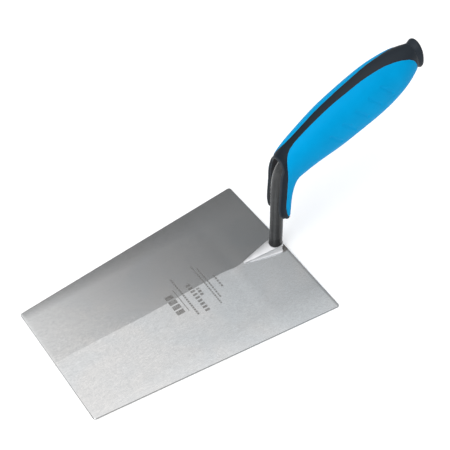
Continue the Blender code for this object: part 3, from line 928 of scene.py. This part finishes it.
class Finish:
    """A material on a Principled shader, with helpers that add procedural nodes."""

    def __init__(self, name, metallic=0.0, specular=0.5):
        self.material = bpy.data.materials.new(name)
        self.material.use_nodes = True
        self.tree = self.material.node_tree
        self.shader = self.tree.nodes["Principled BSDF"]
        self.shader.inputs["Metallic"].default_value = metallic
        self.shader.inputs["Specular IOR Level"].default_value = specular
        self.place = self.add("ShaderNodeTexCoord").outputs["Object"]

    def add(self, kind, **settings):
        node = self.tree.nodes.new(kind)
        for key, value in settings.items():
            setattr(node, key, value)
        return node

    def plug(self, socket, value):
        """Links the value to the socket, or sets it there when it is a plain number."""
        if isinstance(value, bpy.types.NodeSocket):
            self.tree.links.new(value, socket)
        else:
            socket.default_value = value

    def math(self, operation, first, second=0.0):
        node = self.add("ShaderNodeMath", operation=operation)
        self.plug(node.inputs[0], first)
        self.plug(node.inputs[1], second)
        return node.outputs[0]

    def scaled(self, scale, turn=(0, 0, 0)):
        """The place on the object, turned and scaled to cycles per millimetre."""
        node = self.add("ShaderNodeMapping")
        self.plug(node.inputs["Vector"], self.place)
        node.inputs["Rotation"].default_value = [math.radians(angle) for angle in turn]
        node.inputs["Scale"].default_value = [value / MM for value in scale]
        return node.outputs["Vector"]

    def noise(self, scale, detail=3.0, distortion=0.0, turn=(0, 0, 0)):
        """Noise of that many cycles per millimetre, as one number or one for each axis."""
        sizes = scale if isinstance(scale, tuple) else (scale,) * 3
        node = self.add("ShaderNodeTexNoise")
        self.plug(node.inputs["Vector"], self.scaled(sizes, turn))
        node.inputs["Scale"].default_value = 1
        node.inputs["Detail"].default_value = detail
        node.inputs["Distortion"].default_value = distortion
        return node.outputs["Fac"]

    def remap(self, value, low, high, start=0.3, end=0.7):
        """From low to high as the value goes from start to end, and level beyond them."""
        node = self.add("ShaderNodeMapRange")
        self.plug(node.inputs["Value"], value)
        node.inputs["From Min"].default_value = start
        node.inputs["From Max"].default_value = end
        node.inputs["To Min"].default_value = low
        node.inputs["To Max"].default_value = high
        return node.outputs["Result"]

    def mix(self, factor, first, second):
        node = self.add("ShaderNodeMix", data_type="RGBA")
        self.plug(node.inputs[0], factor)
        colours = [socket for socket in node.inputs if socket.type == "RGBA"]
        for socket, value in zip(colours, (first, second)):
            self.plug(socket, value if isinstance(value, bpy.types.NodeSocket) else (*value, 1))
        return next(socket for socket in node.outputs if socket.type == "RGBA")

    def bump(self, height, distance, normal=None):
        """A normal bumped by the height, where 1 stands for that distance in millimetres."""
        node = self.add("ShaderNodeBump")
        self.plug(node.inputs["Height"], height)
        node.inputs["Distance"].default_value = distance * MM
        node.inputs["Strength"].default_value = 1
        if normal is not None:
            self.plug(node.inputs["Normal"], normal)
        return node.outputs["Normal"]

    def axes(self):
        """The place on the object along X, Y and Z, in millimetres."""
        node = self.add("ShaderNodeSeparateXYZ")
        self.plug(node.inputs[0], self.scaled((1, 1, 1)))
        return node.outputs[0], node.outputs[1], node.outputs[2]

    def band(self, value, low, high, soft=0.15):
        """1 between low and high, falling to 0 over the soft edges."""
        away = self.math("ABSOLUTE", self.math("SUBTRACT", value, (low + high) / 2))
        half = (high - low) / 2
        return self.remap(away, 1, 0, half - soft, half + soft)

    def finish(self, colour, roughness, normal):
        self.plug(self.shader.inputs["Base Color"], colour)
        self.plug(self.shader.inputs["Roughness"], roughness)
        self.plug(self.shader.inputs["Normal"], normal)
        return self.material


def etched_rows(f, x, y):
    """How far each place is etched: blocks, a rule and rows of dashes, with no lettering."""
    total = 0.0
    for centre, half, start, end, pitch, share in ETCHED_ROWS:
        row = f.math("MULTIPLY", f.band(x, centre - half, centre + half), f.band(y, start, end))
        if share < 1:
            turn = f.math("FRACT", f.math("DIVIDE", f.math("SUBTRACT", y, start), pitch))
            row = f.math("MULTIPLY", row, f.band(turn, 0, share, 0.05))
        total = f.math("ADD", row, total)
    return total


def ground_steel():
    """Satin ground blade: cloudy tone, wavy grinding lines, an etched mark, a painted reflection of
    the rod and a painted sheen.
    """
    f = Finish("ground_steel_finish", metallic=1.0)
    f.shader.inputs["Anisotropic"].default_value = 0.6
    grinding = f.add("ShaderNodeTangent", direction_type="UV_MAP", uv_map=GRINDING)
    f.plug(f.shader.inputs["Tangent"], grinding.outputs["Tangent"])
    x, y, _ = f.axes()
    clouds = f.noise(0.03, detail=4, distortion=0.6)
    mottle = f.noise(0.45, detail=5, distortion=1.5)
    lines = f.noise((0.25, 2.2, 1), detail=4, distortion=0.8, turn=(0, 0, 24))
    warm = f.remap(x, 0.8, 0.1, COOL_FROM_X, WARM_FROM_X)
    warm = f.math("ADD", warm, f.remap(clouds, -0.4, 0.4))
    colour = f.mix(warm, STEEL_COOL, STEEL_WARM)
    colour = f.mix(f.remap(mottle, 0, 0.4), colour, STEEL_MOTTLE)
    colour = f.mix(f.remap(lines, 0, 0.3), colour, STEEL_MOTTLE)
    # Painted sheen: the blade is painted lighter towards its +Y edge
    colour = f.mix(f.remap(y, 0, 0.55, *PAINTED_SHEEN_Y), colour, STEEL_PAINTED_SHEEN)
    # Painted reflection: a dark patch behind the tongue stands in for the rod, which the blade
    # doesn't mirror
    painted_rod_reflection = f.math("MULTIPLY", f.band(x, *PAINTED_ROD_REFLECTION_X, 0.5), f.band(y, *PAINTED_ROD_REFLECTION_Y, 0.8))
    painted_rod_reflection = f.math("MULTIPLY", painted_rod_reflection, f.remap(mottle, 0.6, 1))
    colour = f.mix(painted_rod_reflection, colour, STEEL_PAINTED_ROD_REFLECTION)
    wear = f.remap(f.noise(1.6, detail=3), 0.35, 0.9)
    etched = f.math("MULTIPLY", etched_rows(f, x, y), wear)
    colour = f.mix(etched, colour, STEEL_ETCHED)
    rough = f.math("ADD", f.remap(mottle, 0.145, 0.185), f.remap(lines, 0.0, 0.03))
    rough = f.math("ADD", rough, f.math("MULTIPLY", f.math("MAXIMUM", etched, painted_rod_reflection), 0.2))
    normal = f.bump(mottle, 0.007)
    normal = f.bump(lines, 0.0018, normal)
    return f.finish(colour, rough, normal)


def polished_steel(name, tones, roughness, ripple):
    """Bright ground weld metal with short polishing marks."""
    f = Finish(name, metallic=1.0)
    marks = f.noise((0.5, 4, 4), detail=4, distortion=0.5, turn=(0, 0, 12))
    smudge = f.noise(0.3, detail=3)
    colour = f.mix(f.remap(smudge, 0, 1), *tones)
    return f.finish(colour, f.remap(marks, *roughness), f.bump(marks, ripple))


def dark_lacquer():
    """Semi-gloss dark grey lacquer, a little worn and dusty, and darker towards the foot."""
    f = Finish("dark_lacquer_finish", specular=0.3)
    _, _, z = f.axes()
    cloud = f.noise(0.12, detail=4)
    grain = f.noise(2.2, detail=3)
    streak = f.noise((0.8, 0.8, 0.05), detail=3)
    uneven = f.math("ADD", z, f.remap(cloud, -1.5, 1.5))
    colour = f.mix(f.remap(cloud, 0, 1), *LACQUER_TONES)
    colour = f.mix(f.remap(streak, 0, 0.5), colour, LACQUER_STREAK)
    # Darker towards the foot, over a long fade
    colour = f.mix(f.remap(uneven, 0.6, 0, *LOWER_DARK_Z), colour, LACQUER_LOWER_DARK)
    # Darkest at the very foot
    colour = f.mix(f.remap(uneven, 0.7, 0, *FOOT_DARK_Z), colour, LACQUER_FOOT_DARK)
    rough = f.math("ADD", f.remap(cloud, 0.20, 0.27), f.remap(grain, -0.02, 0.04))
    return f.finish(colour, rough, f.bump(grain, 0.006))


def charcoal_plastic():
    """Matt moulded plastic with a fine texture, rubbed lighter by the palm, with a painted
    highlight and some wear on the rim and painted shade far inside the channel.
    """
    f = Finish("charcoal_plastic_finish", specular=0.15)
    x, _, _ = f.axes()
    cloud = f.noise(0.08, detail=3)
    grain = f.noise(3.0, detail=2)
    rim = f.add("ShaderNodeAttribute", attribute_name="rim").outputs["Fac"]
    painted_shade = f.add("ShaderNodeAttribute", attribute_name="painted_shade").outputs["Fac"]
    colour = f.mix(f.remap(cloud, 0, 1), *CHARCOAL_TONES)
    colour = f.mix(f.remap(x, 0, 0.5, *PALM_X), colour, CHARCOAL_PALM)
    # Painted highlight along the channel's rim, partly edge wear
    colour = f.mix(f.remap(rim, 0, 0.8, 0.1, 0.7), colour, CHARCOAL_RIM_HIGHLIGHT_AND_WEAR)
    # Painted shade: near black far inside the channel
    colour = f.mix(f.remap(painted_shade, 0, 1, 0.2, 0.9), colour, CHARCOAL_PAINTED_SHADE)
    rough = f.math("ADD", f.remap(cloud, 0.44, 0.52), f.remap(grain, -0.03, 0.05))
    return f.finish(colour, rough, f.bump(grain, 0.012))


def blue_rubber():
    """Semi-matt soft-touch rubber: even blue, a faint cloudiness and a fine skin texture."""
    f = Finish("blue_rubber_finish", specular=0.03)
    cloud = f.noise(0.06, detail=4)
    grain = f.noise(2.4, detail=3)
    colour = f.mix(f.remap(cloud, 0, 1), *RUBBER_TONES)
    colour = f.mix(f.remap(grain, 0, 0.12), colour, RUBBER_GRAIN)
    rough = f.math("ADD", f.remap(cloud, 0.42, 0.50), f.remap(grain, -0.03, 0.05))
    return f.finish(colour, rough, f.bump(grain, 0.010))


# Studio


def make_camera():
    data = bpy.data.cameras.new("camera")
    data.lens = LENS
    data.sensor_width = SENSOR
    data.clip_start = CLIP_START
    data.clip_end = CLIP_END
    camera = bpy.data.objects.new("camera", data)
    camera.location = CAMERA_PLACE
    camera.rotation_euler = Euler([math.radians(angle) for angle in CAMERA_TURN])
    bpy.context.scene.collection.objects.link(camera)
    bpy.context.scene.camera = camera


def make_floor():
    mesh = bmesh.new()
    bmesh.ops.create_grid(mesh, x_segments=1, y_segments=1, size=FLOOR_SIZE / 2)
    floor = add_object("floor", mesh, smooth_angle=30)
    floor.location.z = -FLOOR_DROP
    material = bpy.data.materials.new("pale_floor")
    material.use_nodes = True
    shader = material.node_tree.nodes["Principled BSDF"]
    shader.inputs["Base Color"].default_value = FLOOR_COLOUR
    shader.inputs["Roughness"].default_value = FLOOR_ROUGHNESS
    shader.inputs["Specular IOR Level"].default_value = 0.0
    shader.inputs["Emission Color"].default_value = WHITE
    shader.inputs["Emission Strength"].default_value = FLOOR_GLOW
    floor.data.materials.append(material)


def make_world():
    """A dim studio dome with a bright panel overhead, whose soft edge the blade reflects."""
    world = bpy.data.worlds.new("studio")
    bpy.context.scene.world = world
    world.use_nodes = True
    tree = world.node_tree

    def remap(value, start, end, low, high, kind="LINEAR"):
        node = tree.nodes.new("ShaderNodeMapRange")
        node.interpolation_type = kind
        node.inputs["From Min"].default_value = start
        node.inputs["From Max"].default_value = end
        tree.links.new(value, node.inputs["Value"])
        for name, level in (("To Min", low), ("To Max", high)):
            if isinstance(level, bpy.types.NodeSocket):
                tree.links.new(level, node.inputs[name])
            else:
                node.inputs[name].default_value = level
        return node.outputs["Result"]

    direction = tree.nodes.new("ShaderNodeTexCoord").outputs["Generated"]
    axes = tree.nodes.new("ShaderNodeSeparateXYZ")
    tree.links.new(direction, axes.inputs["Vector"])
    across = tree.nodes.new("ShaderNodeVectorMath")
    across.operation = "DOT_PRODUCT"
    tree.links.new(direction, across.inputs[0])
    across.inputs[1].default_value = PANEL_AXIS
    dome = remap(axes.outputs["Y"], *DOME_SPAN, *DOME_LEVELS)
    panel = remap(axes.outputs["X"], *PANEL_SPAN, *PANEL_LEVELS)
    level = remap(across.outputs["Value"], *PANEL_EDGE, dome, panel, kind="SMOOTHSTEP")
    background = tree.nodes["Background"]
    tree.links.new(level, background.inputs["Strength"])
    background.inputs["Color"].default_value = WHITE


def make_key_light():
    data = bpy.data.lights.new("key", "AREA")
    data.shape = "RECTANGLE"
    data.size = KEY_SIZE
    data.size_y = KEY_SIZE
    data.energy = KEY_POWER
    light = bpy.data.objects.new("key", data)
    light.location = KEY_PLACE
    aim = Vector(KEY_AIM) - Vector(KEY_PLACE)
    light.rotation_euler = aim.to_track_quat("-Z", "Y").to_euler()
    bpy.context.scene.collection.objects.link(light)


def build():
    steel = ground_steel()
    bright = polished_steel("polished_steel_finish", TONGUE_TONES, (0.32, 0.46), 0.004)
    bead = polished_steel("weld_bead_finish", WELD_TONES, (0.50, 0.65), 0.006)
    lacquer = dark_lacquer()
    charcoal = charcoal_plastic()
    rubber = blue_rubber()
    finish_piece(make_blade(), steel, "blade")
    finish_piece(make_tongue(), bright, "blade_tongue")
    left = make_tongue_weld("weld_bead_left", -1)
    finish_piece(left, bead, "tongue_weld_left")
    right = make_tongue_weld("weld_bead_right", 1)
    finish_piece(right, bead, "tongue_weld_right")
    finish_piece(make_shank(), lacquer, "shank")
    finish_piece(make_shank_weld(), lacquer, "shank_weld")
    finish_piece(make_core(), charcoal, "handle_core")
    finish_piece(make_grip(), rubber, "soft_grip")
    finish_piece(make_cap(), charcoal, "butt_cap")
    make_camera()
    make_floor()
    make_world()
    make_key_light()
    bpy.context.scene.view_settings.view_transform = "Standard"


build()
